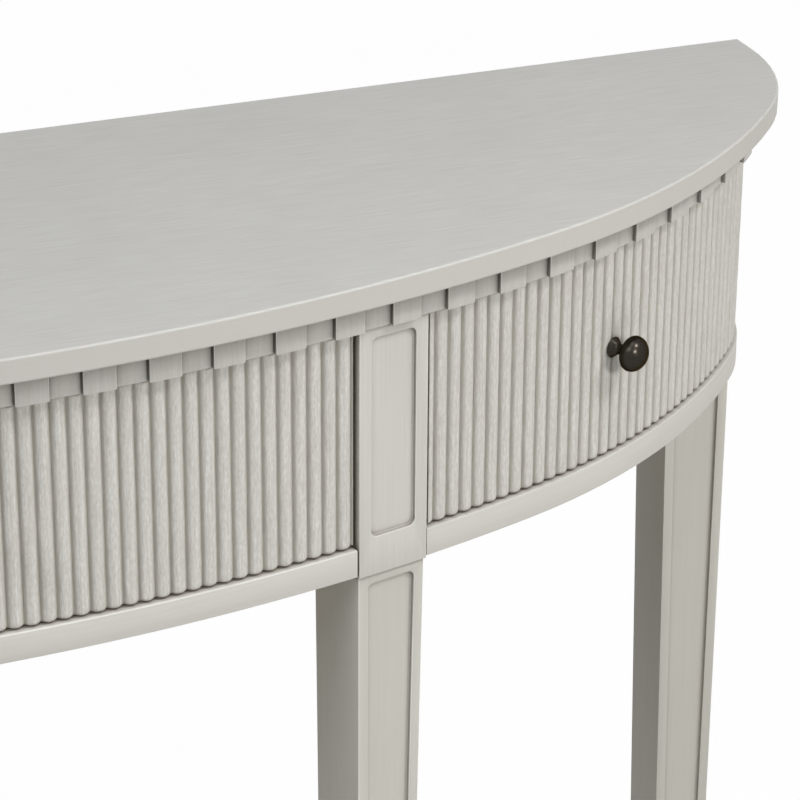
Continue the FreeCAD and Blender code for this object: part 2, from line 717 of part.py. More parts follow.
def drawer_bottom(name, width, left):
    """Bottom panel, which stands in grooves of the sides and the back."""
    board = block(f"{name}_board", width, "sizes.overall_depth", "sizes.drawer_bottom_thickness",
                  (left, back_front + size.groove_depth - size.overall_depth, bottom_under))
    return common(name, board, box_region)


centre_inside = box_half - size.drawer_wall
centre_bottom = drawer_bottom("centre_drawer_bottom", 2 * (centre_inside + size.groove_depth),
                              -centre_inside - size.groove_depth)
piece(centre_bottom)
pair("centre_drawer_side", cut("centre_drawer_side_right", drawer_wall("centre_side", centre_inside),
                               [centre_bottom]))
centre_back = block("centre_back_board", 2 * centre_inside, "sizes.drawer_wall", "sizes.drawer_height",
                    (-centre_inside, back_front, box_under))
piece(cut("centre_drawer_back", centre_back, [centre_bottom]))
piece(bored_front("centre_drawer_front", centre_blank, 0))
piece(knob("centre_knob", 0))
piece(knob_screw("centre_knob_screw", 0))

side_inside = side_box_inner + size.drawer_wall
side_inside_width = side_box_outer - size.drawer_wall - side_inside
right_bottom = drawer_bottom("right_drawer_bottom", side_inside_width + 2 * size.groove_depth,
                             side_inside - size.groove_depth)
right_back = block("right_back_board", side_inside_width, "sizes.drawer_wall", "sizes.drawer_height",
                   (side_inside, back_front, box_under))
right_drawer = (
    right_bottom,
    cut("right_drawer_side_inner", drawer_wall("right_inner_side", side_box_inner), [right_bottom]),
    cut("right_drawer_side_outer", drawer_wall("right_outer_side", side_box_outer - size.drawer_wall),
        [right_bottom]),
    cut("right_drawer_back", right_back, [right_bottom]),
    bored_front("right_drawer_front", side_blank, side_knob_station),
    knob("right_knob", side_knob_station),
    knob_screw("right_knob_screw", side_knob_station),
)
for made in right_drawer:
    piece(made)
    piece(mirrored(made.Name.replace("right", "left"), made))

# Top, fixed by screws through cleats on the partitions and the back panel
top_edges = chain(-corner_end - size.side_straight, corner_end + size.side_straight, 0)
top_edges.append(Part.makeLine(top_edges[0].Vertexes[0].Point, top_edges[-1].Vertexes[-1].Point))
top_outline = shaped("top_outline", Part.Face(Part.Wire(Part.__sortEdges__(top_edges))))
top_board = doc.addObject("Part::Extrusion", "top_board")
top_board.Base = top_outline
top_board.Dir = UP
top_board.DirMode = "Custom"
top_board.setExpression("LengthFwd", "sizes.top_thickness")
top_board.Solid = True
top_board.Placement.Base = UP * top_under
doc.recompute()
eased = doc.addObject("Part::Fillet", "top_eased")
eased.Base = top_board
eased.Edges = [(index, size.top_ease, size.top_ease)
               for index, edge in enumerate(top_board.Shape.Edges, start=1)
               if edge.BoundBox.ZLength < size.top_thickness / 2]

cleat_under = top_under - size.cleat_width
cleat_mid_y = (panel_front + post_rear.y) / 2
bay_middle = (partition_outer + panel_half) / 2
partition_cleat = block("partition_cleat", "sizes.cleat_width", "sizes.cleat_length", "sizes.cleat_width",
                        (partition_x - size.cleat_width, cleat_mid_y - size.cleat_length / 2, cleat_under))
back_cleat = block("back_cleat", "sizes.cleat_length", "sizes.cleat_width", "sizes.cleat_width",
                   (bay_middle - size.cleat_length / 2, panel_front - size.cleat_width, cleat_under))
top_screws = []
top_bores = []
for stem, cleat, x, y in (
        ("partition", partition_cleat, partition_x - size.cleat_width / 2, cleat_mid_y),
        ("back", back_cleat, bay_middle, panel_front - size.cleat_width / 2)):
    bore = rod(f"{stem}_screw_bore", "(sizes.top_screw_diameter + sizes.bore_clearance) / 2",
               "sizes.cleat_width + sizes.top_screw_bite + sizes.bore_spare", (x, y, cleat_under))
    shank = rod(f"{stem}_screw_shank", "sizes.top_screw_diameter / 2",
                "sizes.cleat_width + sizes.top_screw_bite", (x, y, cleat_under))
    head = rod(f"{stem}_screw_head", "sizes.top_screw_head_diameter / 2",
               "sizes.top_screw_head_thickness", (x, y, cleat_under - size.top_screw_head_thickness))
    screw = fused(f"{stem}_screw", [shank, head])
    top_screws += [screw, mirrored(f"{stem}_screw_left", screw)]
    top_bores += [bore, mirrored(f"{stem}_screw_bore_left", bore)]
    pair(f"{stem}_top_cleat", cut(f"{stem}_top_cleat_right", cleat, [bore]))
piece(grouped("top_screws", top_screws))
piece(cut("table_top", eased, top_bores))

doc.recompute()
for made in doc.Objects:
    if "Invalid" in made.State or "Error" in made.State:
        raise RuntimeError(f"{made.Label} failed: {made.State}")
for made in pieces:
    if made.Shape.isNull() or not made.Shape.isValid() or not made.Shape.Solids:
        raise RuntimeError(f"{made.Label} has no valid solid")
os.makedirs("parts", exist_ok=True)
for made in pieces:
    solids = made.Shape.Solids
    finished = solids[0] if len(solids) == 1 else Part.makeCompound(solids)
    finished.exportStep(f"parts/{made.Label}.step")
    print(made.Label, len(solids), round(finished.Volume))
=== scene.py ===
import json
import math

import bmesh
import bpy
from mathutils import Matrix, Vector, noise

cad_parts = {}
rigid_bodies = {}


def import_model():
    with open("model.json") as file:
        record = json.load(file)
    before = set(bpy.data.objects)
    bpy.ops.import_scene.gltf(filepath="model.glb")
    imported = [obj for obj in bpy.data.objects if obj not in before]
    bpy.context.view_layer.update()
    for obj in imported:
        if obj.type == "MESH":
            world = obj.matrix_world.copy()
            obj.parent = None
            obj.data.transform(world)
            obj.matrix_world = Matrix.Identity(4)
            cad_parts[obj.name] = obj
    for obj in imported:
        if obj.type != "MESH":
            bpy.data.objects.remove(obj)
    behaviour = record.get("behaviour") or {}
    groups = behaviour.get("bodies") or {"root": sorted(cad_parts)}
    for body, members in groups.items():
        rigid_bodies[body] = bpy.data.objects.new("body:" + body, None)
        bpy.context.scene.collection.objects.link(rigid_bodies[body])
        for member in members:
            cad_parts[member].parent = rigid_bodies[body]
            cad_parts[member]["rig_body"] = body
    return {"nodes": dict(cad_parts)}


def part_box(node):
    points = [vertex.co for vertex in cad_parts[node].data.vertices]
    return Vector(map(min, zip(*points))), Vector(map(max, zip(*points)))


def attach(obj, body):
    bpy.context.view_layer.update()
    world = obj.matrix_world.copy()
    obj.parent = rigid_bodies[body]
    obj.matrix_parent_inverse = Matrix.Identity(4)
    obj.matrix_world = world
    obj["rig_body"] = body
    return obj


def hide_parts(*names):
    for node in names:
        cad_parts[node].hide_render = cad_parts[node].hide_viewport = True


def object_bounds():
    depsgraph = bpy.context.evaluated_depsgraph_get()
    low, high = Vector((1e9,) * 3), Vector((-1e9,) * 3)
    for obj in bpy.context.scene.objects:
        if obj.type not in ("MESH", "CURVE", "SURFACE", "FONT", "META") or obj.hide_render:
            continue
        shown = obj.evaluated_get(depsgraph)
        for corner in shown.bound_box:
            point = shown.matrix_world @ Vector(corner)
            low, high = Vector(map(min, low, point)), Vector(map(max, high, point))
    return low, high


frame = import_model()
cad_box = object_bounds()

# Four square tapered legs of solid rubberwood, brushed with a thin grey-white wash along the grain.
# Each is sawn and planed, its front panel routed, and a bolt in its top screws it to the post above.
# Sandpaper rounds every arris, and its pale tint is part rubbed wear, part painted highlight.
# A dark tint in the corners and seams, where shade falls, is painted shade.
LEG_ARRIS = 0.0008
WELD_DISTANCE = 0.000002
FLAT_ANGLE = math.radians(0.05)
SHARP_ANGLE = math.radians(25)
ROOM_SHARE = 2.2
ARRIS_STEPS = 2
UNDERSIDE = -0.2
SEAM = 0.0009
# Dark tint in seams and under the posts, where shade falls: painted shade.
SEAM_SHADE_REACH = 0.008
SEAM_SHADE = (0.85, 0.48, "#6B6055")
# Dark brown tint in corners, where shade falls: painted shade.
SHADE_REACH = 0.005
CORNER_SHADE = (0.75, 0.14, "#786D61")
SHADE_SAMPLES = 6
MOTTLE_SIZE = 0.09
STREAK_SHARE = 0.22
STREAK_RANGE = (0.3, 0.7)
STREAK_DEPTH = 0.00006
STREAK_TINT = "#B3ADA4"
# Pale tint on the rounded arrises: part rubbed wear, part painted highlight.
RUBBED_HIGHLIGHT_RANGE = (0.3, 0.6)
RUBBED_HIGHLIGHT_SHARES = (0.35, 0.8)
RUBBED_HIGHLIGHT_TINT = "#E6E4DF"
WASH_ROUGHNESS = (0.46, 0.62)
WASH_IOR = 1.48
UPRIGHT_STREAK = (0.0022, 0.0022, 0.11)


def linear(code):
    """Linear RGBA of an sRGB hex colour."""
    shares = [int(code[place:place + 2], 16) / 255 for place in (1, 3, 5)]
    return [s / 12.92 if s <= 0.04045 else ((s + 0.055) / 1.055) ** 2.4 for s in shares] + [1.0]


def add_node(tree, kind, sockets=None, **settings):
    """Add a node with its settings, and set or link its inputs."""
    node = tree.nodes.new(kind)
    for name, value in settings.items():
        setattr(node, name, value)
    for socket, value in (sockets or {}).items():
        if isinstance(value, bpy.types.NodeSocket):
            tree.links.new(value, node.inputs[socket])
        else:
            node.inputs[socket].default_value = value
    return node


def new_material(name):
    """Empty node material with its output, and the piece's own coordinates."""
    material = bpy.data.materials.new(name)
    material.use_nodes = True
    tree = material.node_tree
    tree.nodes.clear()
    coordinates = add_node(tree, "ShaderNodeTexCoord").outputs["Object"]
    output = add_node(tree, "ShaderNodeOutputMaterial")
    return material, tree, coordinates, output


def whitewash(name, streak, tints, streak_share=STREAK_SHARE, reach=SHADE_REACH, painted_shade=CORNER_SHADE, edge=None,
              pits=None):
    """Thin grey-white wash over wood: brush streaks, faint mottle, pale arrises, painted shade in corners.

    streak is the size of one brush streak along x, y and z. Real bristle marks are a few tenths of a
    millimetre wide, too fine to show, so the streaks are drawn about 2 mm wide. The pale arrises are part
    rubbed wear and part painted highlight. The sixth argument gives the painted shade in corners: the open
    share at which it starts, that at which it covers and its colour; reach is the width of the corner that
    it fills. edge describes upright faces that take a darker tint, which paints shade on them, and pits the
    open grain, where a piece has them.
    """
    material, tree, place, output = new_material(name)
    stretched = add_node(tree, "ShaderNodeMapping", {"Vector": place, "Scale": [1 / s for s in streak]})
    brushed = add_node(tree, "ShaderNodeTexNoise", {
        "Vector": stretched.outputs["Vector"], "Scale": 1.0, "Detail": 3.0, "Roughness": 0.65})
    mottled = add_node(tree, "ShaderNodeTexNoise", {
        "Vector": place, "Scale": 1 / MOTTLE_SIZE, "Detail": 2.0})
    tint = add_node(tree, "ShaderNodeMix", {
        "Factor": mottled.outputs["Fac"], "A": linear(tints[0]), "B": linear(tints[1])}, data_type="RGBA")
    streaked = add_node(tree, "ShaderNodeMapRange", {
        "Value": brushed.outputs["Fac"], "From Min": STREAK_RANGE[0], "From Max": STREAK_RANGE[1],
        "To Min": 0.0, "To Max": streak_share})
    colour = add_node(tree, "ShaderNodeMix", {
        "Factor": streaked.outputs["Result"], "A": tint.outputs["Result"], "B": linear(STREAK_TINT)},
        data_type="RGBA")
    height = brushed.outputs["Fac"]
    depth = STREAK_DEPTH
    if edge:
        facing = add_node(tree, "ShaderNodeSeparateXYZ", {
            "Vector": add_node(tree, "ShaderNodeNewGeometry").outputs["Normal"]})
        edge_shade_share = add_node(tree, "ShaderNodeMapRange", {
            "Value": facing.outputs["Z"], "From Min": edge["tilt"][0], "From Max": edge["tilt"][1],
            "To Min": edge["share"], "To Max": 0.0})
        colour = add_node(tree, "ShaderNodeMix", {
            "Factor": edge_shade_share.outputs["Result"], "A": colour.outputs["Result"], "B": linear(edge["tint"])},
            data_type="RGBA")
    if pits:
        pitted = add_node(tree, "ShaderNodeMapping", {
            "Vector": place, "Scale": [1 / s for s in pits["size"]]})
        open_grain = add_node(tree, "ShaderNodeTexNoise", {
            "Vector": pitted.outputs["Vector"], "Scale": 1.0, "Detail": 3.0, "Roughness": 0.7})
        pit_share = add_node(tree, "ShaderNodeMapRange", {
            "Value": open_grain.outputs["Fac"], "From Min": pits["range"][0], "From Max": pits["range"][1],
            "To Min": pits["share"], "To Max": 0.0})
        colour = add_node(tree, "ShaderNodeMix", {
            "Factor": pit_share.outputs["Result"], "A": colour.outputs["Result"],
            "B": linear(pits["tint"])}, data_type="RGBA")
        height = open_grain.outputs["Fac"]
        depth = pits["depth"]
    # Painted shade: a dark tint where the occlusion finds corners, seams and overhangs.
    shade_start, shade_cover, shade_tint = painted_shade
    open_share = add_node(tree, "ShaderNodeAmbientOcclusion", {"Distance": reach}, samples=SHADE_SAMPLES)
    shade_share = add_node(tree, "ShaderNodeMapRange", {
        "Value": open_share.outputs["AO"], "From Min": shade_cover, "From Max": shade_start,
        "To Min": 1.0, "To Max": 0.0})
    shaded = add_node(tree, "ShaderNodeMix", {
        "Factor": shade_share.outputs["Result"], "A": colour.outputs["Result"], "B": linear(shade_tint)},
        data_type="RGBA")
    # Pale tint on the marked arrises: part rubbed wear, part painted highlight.
    worn_highlight = add_node(tree, "ShaderNodeAttribute", attribute_name="worn_highlight")
    rubbed = add_node(tree, "ShaderNodeMapRange", {
        "Value": mottled.outputs["Fac"], "From Min": RUBBED_HIGHLIGHT_RANGE[0], "From Max": RUBBED_HIGHLIGHT_RANGE[1],
        "To Min": RUBBED_HIGHLIGHT_SHARES[0], "To Max": RUBBED_HIGHLIGHT_SHARES[1]})
    highlight_share = add_node(tree, "ShaderNodeMath", {
        0: worn_highlight.outputs["Fac"], 1: rubbed.outputs["Result"]}, operation="MULTIPLY")
    finish = add_node(tree, "ShaderNodeMix", {
        "Factor": highlight_share.outputs[0], "A": shaded.outputs["Result"], "B": linear(RUBBED_HIGHLIGHT_TINT)},
        data_type="RGBA")
    sheen = add_node(tree, "ShaderNodeMapRange", {
        "Value": brushed.outputs["Fac"], "To Min": WASH_ROUGHNESS[0], "To Max": WASH_ROUGHNESS[1]})
    relief = add_node(tree, "ShaderNodeBump", {"Strength": 1.0, "Distance": depth, "Height": height})
    paint = add_node(tree, "ShaderNodeBsdfPrincipled", {
        "Base Color": finish.outputs["Result"], "Roughness": sheen.outputs["Result"],
        "IOR": WASH_IOR, "Normal": relief.outputs["Normal"]})
    tree.links.new(paint.outputs["BSDF"], output.inputs["Surface"])
    return material


def merged(node):
    """Welded copy of a CAD node's mesh, with its flat faces whole."""
    shell = bmesh.new()
    shell.from_mesh(frame["nodes"][node].data)
    bmesh.ops.remove_doubles(shell, verts=shell.verts, dist=WELD_DISTANCE)
    bmesh.ops.dissolve_limit(shell, angle_limit=FLAT_ANGLE, verts=shell.verts, edges=shell.edges)
    return shell


def stand_in(node, shell, material):
    """Piece made from a shell, which rides on the node's body and stands for the node."""
    mesh = bpy.data.meshes.new(f"{node}_finished")
    shell.to_mesh(mesh)
    shell.free()
    if "custom_normal" in mesh.attributes:
        mesh.attributes.remove(mesh.attributes["custom_normal"])
    mesh.shade_smooth()
    mesh.set_sharp_from_angle(angle=SHARP_ANGLE)
    mesh.materials.clear()
    mesh.materials.append(material)
    piece = bpy.data.objects.new(f"{node}_finished", mesh)
    bpy.context.scene.collection.objects.link(piece)
    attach(piece, frame["nodes"][node]["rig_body"])
    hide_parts(node)


def round_arrises(shell, arris):
    """Round the sharp outer edges that have room for it; mark new faces not looking down as wear and painted
    highlight.
    """
    def room(edge):
        return min(face.calc_area() for face in edge.link_faces) / edge.calc_length()

    worn_highlight = shell.faces.layers.float.new("worn_highlight")
    arrises = [edge for edge in shell.edges if edge.is_manifold and edge.is_convex
               and edge.calc_face_angle() > SHARP_ANGLE and room(edge) > ROOM_SHARE * arris]
    rounded = bmesh.ops.bevel(shell, geom=arrises, offset=arris, offset_type="OFFSET", affect="EDGES",
                              segments=ARRIS_STEPS, profile=0.5, material=-1, clamp_overlap=True)
    shell.normal_update()
    # Faces looking down get no pale tint, since it is partly painted highlight.
    for face in rounded["faces"]:
        face[worn_highlight] = 1.0 if face.normal.z > UNDERSIDE else 0.0


def eased(node, arris, material):
    """Copy of a CAD node with its arrises rounded over."""
    shell = merged(node)
    round_arrises(shell, arris)
    stand_in(node, shell, material)


# The wash reads as a chalky warm grey with soft streaks up the leg.
# Painted shade darkens the seams and the tops of the legs under the posts and rails.
leg_wash = whitewash("whitewashed_rubberwood_legs", UPRIGHT_STREAK, tints=("#C1BEB5", "#C7C4BB"),
                     reach=SEAM_SHADE_REACH, painted_shade=SEAM_SHADE)
for end in ("front", "back"):
    for side in ("right", "left"):
        node = f"{end}_leg_{side}"
        shell = merged(node)
        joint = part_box(node)[1].z
        head = [point for point in shell.verts if joint - point.co.z < WELD_DISTANCE]
        bmesh.ops.translate(shell, vec=(0, 0, -SEAM), verts=head)
        round_arrises(shell, LEG_ARRIS)
        stand_in(node, shell, leg_wash)

# Two front posts between the drawers and two square posts in the back corners, of the same washed wood.
# A shallow panel is routed in each front post, and the rails are glued to its sides.
POST_ARRIS = 0.0005
# The same streaks as on the legs, a shade lighter, with painted shade in seams and corners.
upright_wash = whitewash("whitewashed_rubberwood_upright", UPRIGHT_STREAK, tints=("#C6C3BC", "#CCC9C2"),
                         reach=SEAM_SHADE_REACH, painted_shade=SEAM_SHADE)
for side in ("right", "left"):
    eased(f"front_post_{side}", POST_ARRIS, upright_wash)
    eased(f"back_post_{side}", POST_ARRIS, upright_wash)

# Bent rails under the drawers, glued up from thin layers and washed along their length.
# The posts divide them into three, with a hairline seam at each joint.
RAIL_ARRIS = 0.0008
SQUARE_SHARE = 0.999
FRONT_SHARE = 0.9


def side_of(post):
    """Direction square to a post's sides, from the largest face of its front."""
    fronts = [face for face in frame["nodes"][post].data.polygons if -face.normal.y > FRONT_SHARE]
    front = max(fronts, key=lambda face: face.area).normal
    return Vector((-front.y, front.x, 0))


post_sides = [side_of(f"front_post_{side}") for side in ("right", "left")]
# Long streaks that follow the bend, and a thin line of painted shade in the seams.
length_wash = whitewash("whitewashed_rubberwood_lengthwise", streak=(0.11, 0.11, 0.0022),
                        tints=("#C9C6BF", "#CFCCC5"))
for place in ("centre", "right", "left"):
    shell = merged(f"lower_rail_{place}")
    for face in shell.faces:
        if any(abs(face.normal.dot(side)) > SQUARE_SHARE for side in post_sides):
            bmesh.ops.translate(shell, vec=face.normal * -SEAM, verts=face.verts)
    round_arrises(shell, RAIL_ARRIS)
    stand_in(f"lower_rail_{place}", shell, length_wash)

# Bent upper rail with square dentil blocks glued along its face.
# Both are brushed up and down, so the streaks run across the moulding.
DENTIL_ARRIS = 0.0004
# Short upright streaks, and much painted shade under the overhang of the top, so the blocks stand out.
cross_wash = whitewash("whitewashed_rubberwood_crosswise", streak=(0.0026, 0.0026, 0.04),
                       tints=("#C5C2BD", "#CBC8C3"),
                       streak_share=0.45, reach=0.020, painted_shade=(1.0, 0.40, "#544D46"))
for node in ("upper_rail", "dentil_blocks"):
    eased(node, DENTIL_ARRIS, cross_wash)

# End panels behind the side drawers and the flat back panel, washed like the rest.
# The panels are let into the back posts and glued.
PANEL_ARRIS = 0.0008
for node in ("end_panel_right", "end_panel_left", "back_panel"):
    eased(node, PANEL_ARRIS, upright_wash)

# Table top of edge-glued boards, sawn to the bow, eased all round and washed from end to end.
# Screws through the cleats hold it down from below.
TOP_STREAK = (0.045, 0.0016, 0.0016)
# Darker, warmer tint on the upright edge of the top: painted shade.
TOP_EDGE_SHADE = {"tint": "#BDBAB3", "share": 0.85, "tilt": (0.1, 0.5)}


def refinish(node, material):
    """Give a CAD node, whose shape is right as it is, a new material."""
    materials = frame["nodes"][node].data.materials
    materials.clear()
    materials.append(material)


# A cooler grey than below, with fine streaks along the boards, painted shade in the corners, and a darker,
# warmer tint on the upright edge that paints shade on it.
top_wash = whitewash("whitewashed_rubberwood_top", TOP_STREAK, tints=("#C5C4C0", "#CFCEC9"),
                     streak_share=0.42, edge=TOP_EDGE_SHADE)
refinish("table_top", top_wash)

# Inside of the carcase: partitions, ledger, runners and cleats of planed poplar, left bare.
# They are glued and pinned, and the drawers slide on the runners.
POPLAR_ARRIS = 0.0008
FIGURE_RANGE = (0.35, 0.7)
FIGURE_DEPTH = 0.00008
POPLAR_TINTS = ("#D9C7A4", "#B9A37C")
POPLAR_ROUGHNESS = 0.62


def bare_wood(name, grain):
    """Planed poplar: pale cream with soft brown streaks along the grain, standing a little proud."""
    material, tree, place, output = new_material(name)
    stretched = add_node(tree, "ShaderNodeMapping", {"Vector": place, "Scale": [1 / s for s in grain]})
    figure = add_node(tree, "ShaderNodeTexNoise", {
        "Vector": stretched.outputs["Vector"], "Scale": 1.0, "Detail": 4.0, "Roughness": 0.6,
        "Distortion": 0.4})
    figure_share = add_node(tree, "ShaderNodeMapRange", {
        "Value": figure.outputs["Fac"], "From Min": FIGURE_RANGE[0], "From Max": FIGURE_RANGE[1]})
    colour = add_node(tree, "ShaderNodeMix", {
        "Factor": figure_share.outputs["Result"], "A": linear(POPLAR_TINTS[0]),
        "B": linear(POPLAR_TINTS[1])}, data_type="RGBA")
    relief = add_node(tree, "ShaderNodeBump", {
        "Strength": 0.6, "Distance": FIGURE_DEPTH, "Height": figure.outputs["Fac"]})
    wood = add_node(tree, "ShaderNodeBsdfPrincipled", {
        "Base Color": colour.outputs["Result"], "Roughness": POPLAR_ROUGHNESS,
        "Normal": relief.outputs["Normal"]})
    tree.links.new(wood.outputs["BSDF"], output.inputs["Surface"])
    return material


poplar_depthwise = bare_wood("bare_poplar_depthwise", grain=(0.006, 0.16, 0.006))
poplar_crosswise = bare_wood("bare_poplar_crosswise", grain=(0.16, 0.006, 0.006))
for stem in ("partition", "centre_runner", "partition_top_cleat"):
    for side in ("right", "left"):
        eased(f"{stem}_{side}", POPLAR_ARRIS, poplar_depthwise)
for side in ("right", "left"):
    eased(f"{side}_runner_inner", POPLAR_ARRIS, poplar_depthwise)
    eased(f"{side}_runner_outer", POPLAR_ARRIS, poplar_depthwise)
    eased(f"back_top_cleat_{side}", POPLAR_ARRIS, poplar_crosswise)
eased("back_ledger", POPLAR_ARRIS, poplar_crosswise)

# Drawer boxes of bare poplar board: two sides, a back and a thin bottom let into grooves.
# They are glued at the corners and to the front, and every edge is rounded with sandpaper.
BOX_ARRIS = 0.0010
for drawer, walls in (("centre", ("side_right", "side_left")), ("right", ("side_inner", "side_outer")),
                      ("left", ("side_inner", "side_outer"))):
    for wall in walls:
        eased(f"{drawer}_drawer_{wall}", BOX_ARRIS, poplar_depthwise)
    for board in ("back", "bottom"):
        eased(f"{drawer}_drawer_{board}", BOX_ARRIS, poplar_crosswise)

# Drawer fronts: bent blanks with half-round reeds cut upright across them, brushed hard before washing.
# The soft grain is torn out, so the reeds are uneven and speckled, and their ends are rounded off.
# The valleys are darkened with painted shade.
REED_ROWS = 60
WIDEST_REED_FACET = 0.003
REED_END_RADIUS = 0.0025
END_ROW_SHARES = (0.1, 0.3, 0.6, 1.0)
TORN_GRAIN = Vector((0.0030, 0.0030, 0.0075))
TORN_DEPTH = 0.0003
BRUSH_PASSES = 2
BRUSH_SHARE = 0.5
UPRIGHT_SHARE = 0.1
# The pits of the open grain are too fine to show, so they are drawn 1.2 mm wide.
PITS = {"size": (0.0012, 0.0012, 0.005), "depth": 0.0005, "range": (0.40, 0.66), "share": 0.28,
        "tint": "#8F867B"}


def reeded(node, material):
    """Copy of a drawer front with uneven reeds whose ends are rounded."""
    shell = merged(node)
    low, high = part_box(node)
    levels = [low.z + (high.z - low.z) * row / REED_ROWS for row in range(1, REED_ROWS)]
    for share in END_ROW_SHARES:
        levels += [low.z + share * REED_END_RADIUS, high.z - share * REED_END_RADIUS]
    for level in levels:
        bmesh.ops.bisect_plane(shell, geom=shell.verts[:] + shell.edges[:] + shell.faces[:],
                               dist=WELD_DISTANCE, plane_co=(0, 0, level), plane_no=(0, 0, 1))
    shell.normal_update()
    reed_points = set()
    for face in shell.faces:
        heights = [point.co.z for point in face.verts]
        rise = max(heights) - min(heights)
        if abs(face.normal.z) < UPRIGHT_SHARE and face.calc_area() < WIDEST_REED_FACET * rise:
            reed_points.update(face.verts)
    moves = {}
    for point in reed_points:
        outward = Vector((point.normal.x, point.normal.y, 0)).normalized()
        end_gap = min(point.co.z - low.z, high.z - point.co.z, REED_END_RADIUS)
        rounded = REED_END_RADIUS - math.sqrt(REED_END_RADIUS ** 2 - (REED_END_RADIUS - end_gap) ** 2)
        grain = Vector(place / size for place, size in zip(point.co, TORN_GRAIN))
        moves[point] = outward * (noise.noise(grain) * TORN_DEPTH - rounded)
    for point, move in moves.items():
        point.co += move
    for brush_pass in range(BRUSH_PASSES):
        bmesh.ops.smooth_vert(shell, verts=list(reed_points), factor=BRUSH_SHARE, use_axis_x=True,
                              use_axis_y=True, use_axis_z=False)
    stand_in(node, shell, material)


# Paler than the frame, with pits and streaks down the reeds and a grey-brown band of painted shade between
# them.
reed_wash = whitewash("whitewashed_reeds", streak=(0.0018, 0.0018, 0.06), tints=("#DAD8D2", "#E0DED8"),
                      streak_share=0.5, painted_shade=(0.94, 0.73, "#ADA89F"), pits=PITS)
for drawer in ("centre", "right", "left"):
    reeded(f"{drawer}_drawer_front", reed_wash)

# Knobs turned from brass, with a conical back, a domed face and a flared foot.
# They are darkened to an oil-rubbed bronze, nearly black with a hand-rubbed polish, and a screw from
# inside the drawer holds each one.
HEAD_RADIUS = 0.0140
NECK_RADIUS = 0.0041
FOOT_RADIUS = 0.0087
FOOT_HEIGHT = 0.0055
NECK_LENGTH = 0.0040
CONE_RADIUS = 0.0131
CONE_HEIGHT = 0.0055
RIM_HEIGHT = 0.0033
FOOT_ROUND = 0.0012
FLARE_ROUND = 0.0016
NECK_ROUND = 0.0012
CONE_ROUND = 0.0016
ROUND_STEPS = 4
DOME_POINTS = 12
TURN_STEPS = 64
RUBBED_PATCH = 0.004
BRONZE_TINTS = ("#2A2724", "#3E3933")
BRONZE_ROUGHNESS = (0.2, 0.3)
BRONZE_GLANCE_TINT = "#B5AFA6"
# Brown-black metal that mirrors the room softly, browner in patches where hands have rubbed it.
bronze, tree, place, output = new_material("oil_rubbed_bronze")
rubbed = add_node(tree, "ShaderNodeTexNoise", {"Vector": place, "Scale": 1 / RUBBED_PATCH, "Detail": 3.0})
bronze_colour = add_node(tree, "ShaderNodeMix", {
    "Factor": rubbed.outputs["Fac"], "A": linear(BRONZE_TINTS[0]), "B": linear(BRONZE_TINTS[1])},
    data_type="RGBA")
bronze_sheen = add_node(tree, "ShaderNodeMapRange", {
    "Value": rubbed.outputs["Fac"], "To Min": BRONZE_ROUGHNESS[0], "To Max": BRONZE_ROUGHNESS[1]})
metal = add_node(tree, "ShaderNodeBsdfPrincipled", {
    "Base Color": bronze_colour.outputs["Result"], "Metallic": 1.0,
    "Roughness": bronze_sheen.outputs["Result"], "Specular Tint": linear(BRONZE_GLANCE_TINT)})
tree.links.new(metal.outputs["BSDF"], output.inputs["Surface"])


def middle(node):
    """Mean of a node's points, which is on the axis of a turned piece."""
    points = frame["nodes"][node].data.vertices
    return sum((point.co for point in points), Vector()) / len(points)


def turned_knob(node, screw):
    """Knob spun on the axis of its screw, from the seat of its foot to the tip of its dome."""
    centre = middle(node)
    axis = centre - middle(screw)
    axis.z = 0
    axis.normalize()
    reaches = [(point.co - centre).dot(axis) for point in frame["nodes"][node].data.vertices]
    foot = centre + axis * min(reaches)
    neck_top = FOOT_HEIGHT + NECK_LENGTH
    cone_top = neck_top + CONE_HEIGHT
    rim = cone_top + RIM_HEIGHT
    dome = max(reaches) - min(reaches) - rim
    outline = [(0, 0), (FOOT_RADIUS, 0), (NECK_RADIUS, FOOT_HEIGHT), (NECK_RADIUS, neck_top),
               (CONE_RADIUS, cone_top)]
    for step in range(DOME_POINTS + 1):
        angle = math.pi / 2 * step / DOME_POINTS
        outline.append((HEAD_RADIUS * math.cos(angle), rim + dome * math.sin(angle)))
    shell = bmesh.new()
    points = [shell.verts.new((radius, 0, height)) for radius, height in outline]
    for first, second in zip(points, points[1:]):
        shell.edges.new((first, second))
    bmesh.ops.spin(shell, geom=shell.verts[:] + shell.edges[:], cent=(0, 0, 0), axis=(0, 0, 1),
                   angle=math.tau, steps=TURN_STEPS, use_merge=True)
    bmesh.ops.remove_doubles(shell, verts=shell.verts, dist=WELD_DISTANCE)
    bmesh.ops.recalc_face_normals(shell, faces=shell.faces)
    for level, radius in ((0, FOOT_ROUND), (FOOT_HEIGHT, FLARE_ROUND), (neck_top, NECK_ROUND),
                          (cone_top, CONE_ROUND)):
        ring_points = {point for point in shell.verts
                       if abs(point.co.z - level) < WELD_DISTANCE and point.co.xy.length > WELD_DISTANCE}
        ring = [edge for edge in shell.edges if ring_points.issuperset(edge.verts)]
        bmesh.ops.bevel(shell, geom=ring, offset=radius, offset_type="OFFSET", affect="EDGES",
                        segments=ROUND_STEPS, profile=0.5, material=-1, clamp_overlap=True)
    turn = axis.to_track_quat("Z", "Y").to_matrix().to_4x4()
    bmesh.ops.transform(shell, matrix=Matrix.Translation(foot) @ turn, verts=shell.verts)
    stand_in(node, shell, bronze)


for drawer in ("centre", "right", "left"):
    turned_knob(f"{drawer}_knob", f"{drawer}_knob_screw")

